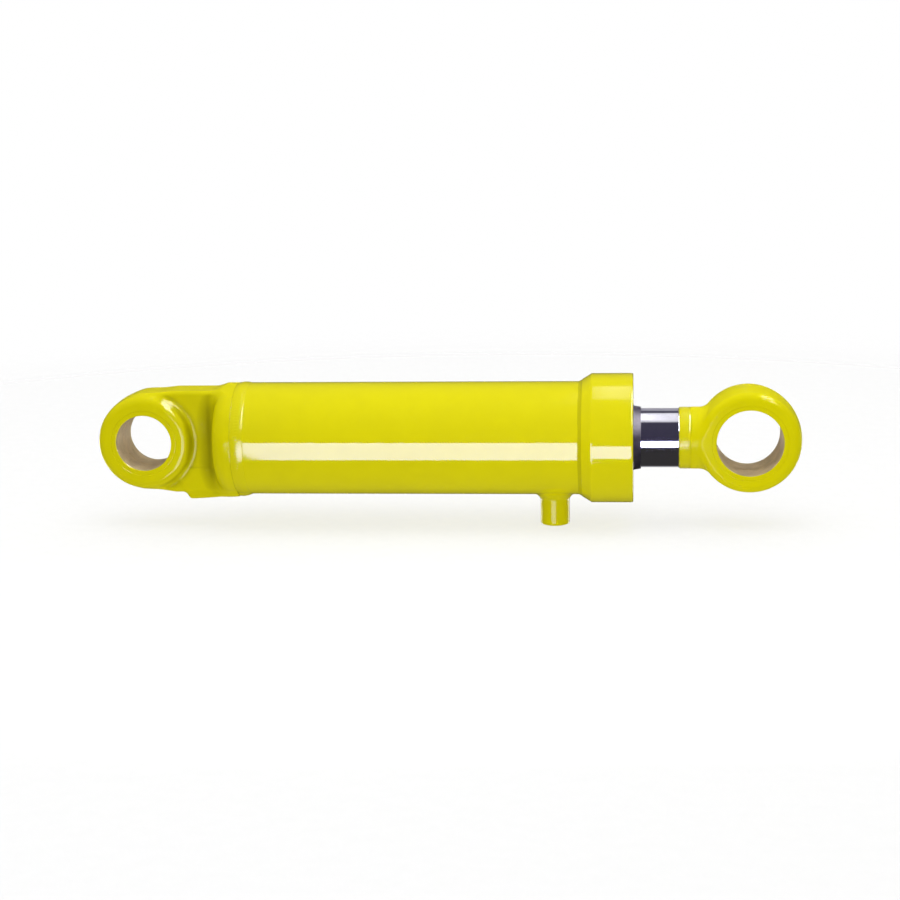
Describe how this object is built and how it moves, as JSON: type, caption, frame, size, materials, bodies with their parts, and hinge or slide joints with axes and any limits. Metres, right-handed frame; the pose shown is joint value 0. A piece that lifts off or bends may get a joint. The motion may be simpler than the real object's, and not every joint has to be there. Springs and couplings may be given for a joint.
{
  "type": "hydraulic cylinder",
  "caption": "Double-acting hydraulic cylinder with bushed pin eyes at both ends, a cast rear cap, a sliding chromed rod and threaded oil ports on one side.",
  "frame": {"origin": "on the cylinder's axis at the closed cylinder's balance point, 316 mm forward of the rear pin's centre", "axes": "+X along the cylinder from the rear eye to the rod eye, the pins lie along Y, both oil ports open towards -Z"},
  "size_m": [0.755, 0.138, 0.163],
  "materials": {
    "yellow_paint": "gloss machine paint over cast and turned steel",
    "hard_chrome": "ground and polished hard chrome plating",
    "bush_steel": "honed, lightly oiled",
    "machined_steel": "turned",
    "gland_iron": "machined and blackened",
    "black_rubber": "matte nitrile",
    "filled_ptfe": "bronze-filled slide ring",
    "phenolic_guide": "fabric-filled guide strip",
    "polyurethane": "smooth moulded",
    "olive_plastic": "moulded shipping plug"
  },
  "bodies": {
    "barrel": {"rear_cap": "yellow_paint", "rear_eye_bush": "bush_steel", "rear_port_plug": "olive_plastic", "rear_weld": "yellow_paint", "barrel_tube": "yellow_paint", "head_collar": "yellow_paint", "collar_weld": "yellow_paint", "front_port_boss": "yellow_paint", "front_port_weld": "yellow_paint", "front_port_plug": "olive_plastic", "gland": "gland_iron", "gland_o_ring": "black_rubber", "gland_backup_ring": "filled_ptfe", "gland_lock_screw": "machined_steel", "rod_wear_ring_rear": "phenolic_guide", "rod_wear_ring_front": "phenolic_guide", "rod_buffer_seal": "filled_ptfe", "rod_seal": "polyurethane", "rod_wiper": "black_rubber"},
    "piston_rings": {"piston_seal": "filled_ptfe", "piston_wear_ring_rear": "phenolic_guide", "piston_wear_ring_front": "phenolic_guide"},
    "rod": {"piston_rod": "hard_chrome", "piston": "machined_steel", "piston_seal_energizer": "black_rubber", "piston_o_ring": "black_rubber", "piston_nut": "machined_steel", "piston_nut_lock_screw": "machined_steel", "rod_eye": "yellow_paint", "rod_eye_weld": "yellow_paint", "rod_eye_bush": "bush_steel"}
  },
  "joints": [
    {"name": "rod_slide", "type": "slide", "parent": "barrel", "child": "piston_rings", "axis": [1, 0, 0], "range_m": [0, 0.24]},
    {"name": "rod_turn", "type": "hinge", "parent": "piston_rings", "child": "rod", "pos_m": [0.3315, 0, 0], "axis": [1, 0, 0], "continuous": true}
  ]
}
